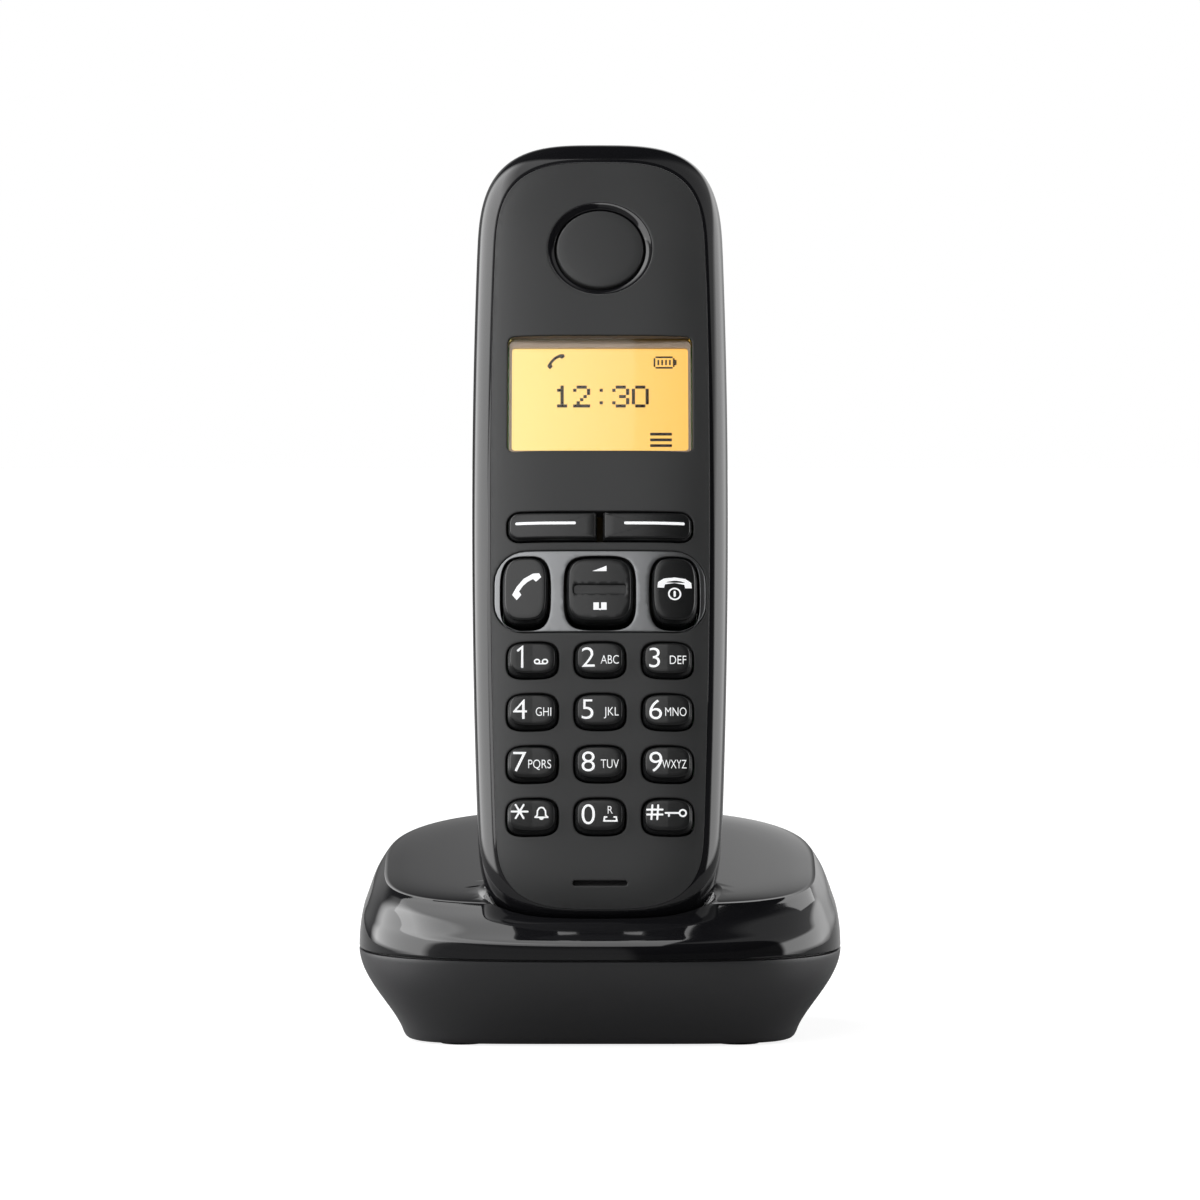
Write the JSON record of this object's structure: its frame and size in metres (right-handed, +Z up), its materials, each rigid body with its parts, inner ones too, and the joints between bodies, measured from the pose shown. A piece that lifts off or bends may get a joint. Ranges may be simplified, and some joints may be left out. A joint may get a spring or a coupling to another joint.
{
  "type": "cordless telephone with charging base",
  "caption": "Slim cordless telephone handset with amber display and keypad, leaning back in a low rounded charging base.",
  "frame": {"origin": "middle of the bounding box in plan, on the table the base stands on", "axes": "+Z up, -Y towards the user, +X to the user's right"},
  "size_m": [0.092, 0.0813, 0.1699],
  "materials": {
    "gloss_black": "high gloss black moulding",
    "face_charcoal": "fine matte dark grey",
    "key_charcoal": "satin dark grey with white legends",
    "bezel_chrome": "dark polished surround",
    "base_grey": "satin dark grey",
    "base_gloss": "high gloss black moulding",
    "window_clear": "clear polished lens",
    "display_amber": "lit amber panel",
    "display_surround": "bronze border",
    "black_plastic": "plain black moulding",
    "feet_rubber": "soft matte",
    "screw_steel": "zinc plated",
    "board_green": "solder mask over laminate",
    "tin_plate": "plain tinned sheet",
    "contact_gold": "plated contact",
    "nickel": "nickel plated",
    "cell_sleeve": "printed sleeve",
    "mat_silicone": "dark grey silicone",
    "capacitor_sleeve": "shrunk sleeve",
    "cone_black": "fibre cone"
  },
  "bodies": {
    "base": {"base_lower_shell": "base_grey", "base_upper_shell": "base_gloss", "base_feet": "feet_rubber", "base_screws": "screw_steel", "base_circuit_board": "board_green", "base_shield_can": "tin_plate", "base_capacitors": "capacitor_sleeve", "base_antennas": "nickel", "line_socket": "black_plastic", "line_socket_contacts": "contact_gold", "power_socket": "black_plastic", "power_socket_pin": "nickel", "paging_switch": "black_plastic", "charge_contact_left": "contact_gold", "charge_contact_right": "contact_gold"},
    "handset": {"handset_front_frame": "gloss_black", "handset_face_plate": "face_charcoal", "handset_rear_shell": "gloss_black", "handset_screws": "screw_steel", "handset_circuit_board": "board_green", "handset_shield_can": "tin_plate", "handset_antenna": "nickel", "handset_charge_pads": "contact_gold", "battery_tray": "black_plastic", "battery_left": "cell_sleeve", "battery_right": "cell_sleeve", "battery_contacts": "nickel", "display_window": "window_clear", "display_frame": "display_surround", "display_panel": "display_amber", "earpiece_cap": "face_charcoal", "earpiece_speaker": "cone_black", "microphone": "tin_plate", "ringer_speaker": "cone_black", "keypad_membrane": "mat_silicone", "key_bezel": "bezel_chrome"},
    "battery_cover": {"battery_cover": "gloss_black"},
    "paging_button": {"paging_button": "key_charcoal"},
    "soft_key_left": {"soft_key_left": "key_charcoal"},
    "soft_key_right": {"soft_key_right": "key_charcoal"},
    "talk_key": {"talk_key": "key_charcoal"},
    "nav_key": {"nav_key": "key_charcoal"},
    "end_key": {"end_key": "key_charcoal"},
    "key_1": {"key_1": "key_charcoal"},
    "key_2": {"key_2": "key_charcoal"},
    "key_3": {"key_3": "key_charcoal"},
    "key_4": {"key_4": "key_charcoal"},
    "key_5": {"key_5": "key_charcoal"},
    "key_6": {"key_6": "key_charcoal"},
    "key_7": {"key_7": "key_charcoal"},
    "key_8": {"key_8": "key_charcoal"},
    "key_9": {"key_9": "key_charcoal"},
    "key_star": {"key_star": "key_charcoal"},
    "key_0": {"key_0": "key_charcoal"},
    "key_hash": {"key_hash": "key_charcoal"}
  },
  "joints": [
    {"name": "handset_lift", "type": "slide", "parent": "base", "child": "handset", "axis": [0, 0.3907, 0.9205], "range_m": [0, 0.06]},
    {"name": "battery_cover_hinge", "type": "hinge", "parent": "handset", "child": "battery_cover", "pos_m": [0, 0.01748, 0.09402], "axis": [1, 0, 0], "range_deg": [0, 60]},
    {"name": "paging_button_press", "type": "slide", "parent": "base", "child": "paging_button", "axis": [0, -1, 0], "range_m": [0, 0.0008], "stiffness_N_per_m": 1500},
    {"name": "soft_key_left_press", "type": "slide", "parent": "handset", "child": "soft_key_left", "axis": [0, 0.9205, -0.3907], "range_m": [0, 0.0008], "stiffness_N_per_m": 1500},
    {"name": "soft_key_right_press", "type": "slide", "parent": "handset", "child": "soft_key_right", "axis": [0, 0.9205, -0.3907], "range_m": [0, 0.0008], "stiffness_N_per_m": 1500},
    {"name": "talk_key_press", "type": "slide", "parent": "handset", "child": "talk_key", "axis": [0, 0.9205, -0.3907], "range_m": [0, 0.0008], "stiffness_N_per_m": 1500},
    {"name": "nav_key_rock", "type": "hinge", "parent": "handset", "child": "nav_key", "pos_m": [0, -0.01049, 0.08341], "axis": [1, 0, 0], "range_deg": [-3.5, 3.5], "stiffness_Nm_per_rad": 0.1},
    {"name": "end_key_press", "type": "slide", "parent": "handset", "child": "end_key", "axis": [0, 0.9205, -0.3907], "range_m": [0, 0.0008], "stiffness_N_per_m": 1500},
    {"name": "key_1_press", "type": "slide", "parent": "handset", "child": "key_1", "axis": [0, 0.9205, -0.3907], "range_m": [0, 0.0008], "stiffness_N_per_m": 1500},
    {"name": "key_2_press", "type": "slide", "parent": "handset", "child": "key_2", "axis": [0, 0.9205, -0.3907], "range_m": [0, 0.0008], "stiffness_N_per_m": 1500},
    {"name": "key_3_press", "type": "slide", "parent": "handset", "child": "key_3", "axis": [0, 0.9205, -0.3907], "range_m": [0, 0.0008], "stiffness_N_per_m": 1500},
    {"name": "key_4_press", "type": "slide", "parent": "handset", "child": "key_4", "axis": [0, 0.9205, -0.3907], "range_m": [0, 0.0008], "stiffness_N_per_m": 1500},
    {"name": "key_5_press", "type": "slide", "parent": "handset", "child": "key_5", "axis": [0, 0.9205, -0.3907], "range_m": [0, 0.0008], "stiffness_N_per_m": 1500},
    {"name": "key_6_press", "type": "slide", "parent": "handset", "child": "key_6", "axis": [0, 0.9205, -0.3907], "range_m": [0, 0.0008], "stiffness_N_per_m": 1500},
    {"name": "key_7_press", "type": "slide", "parent": "handset", "child": "key_7", "axis": [0, 0.9205, -0.3907], "range_m": [0, 0.0008], "stiffness_N_per_m": 1500},
    {"name": "key_8_press", "type": "slide", "parent": "handset", "child": "key_8", "axis": [0, 0.9205, -0.3907], "range_m": [0, 0.0008], "stiffness_N_per_m": 1500},
    {"name": "key_9_press", "type": "slide", "parent": "handset", "child": "key_9", "axis": [0, 0.9205, -0.3907], "range_m": [0, 0.0008], "stiffness_N_per_m": 1500},
    {"name": "key_star_press", "type": "slide", "parent": "handset", "child": "key_star", "axis": [0, 0.9205, -0.3907], "range_m": [0, 0.0008], "stiffness_N_per_m": 1500},
    {"name": "key_0_press", "type": "slide", "parent": "handset", "child": "key_0", "axis": [0, 0.9205, -0.3907], "range_m": [0, 0.0008], "stiffness_N_per_m": 1500},
    {"name": "key_hash_press", "type": "slide", "parent": "handset", "child": "key_hash", "axis": [0, 0.9205, -0.3907], "range_m": [0, 0.0008], "stiffness_N_per_m": 1500}
  ]
}
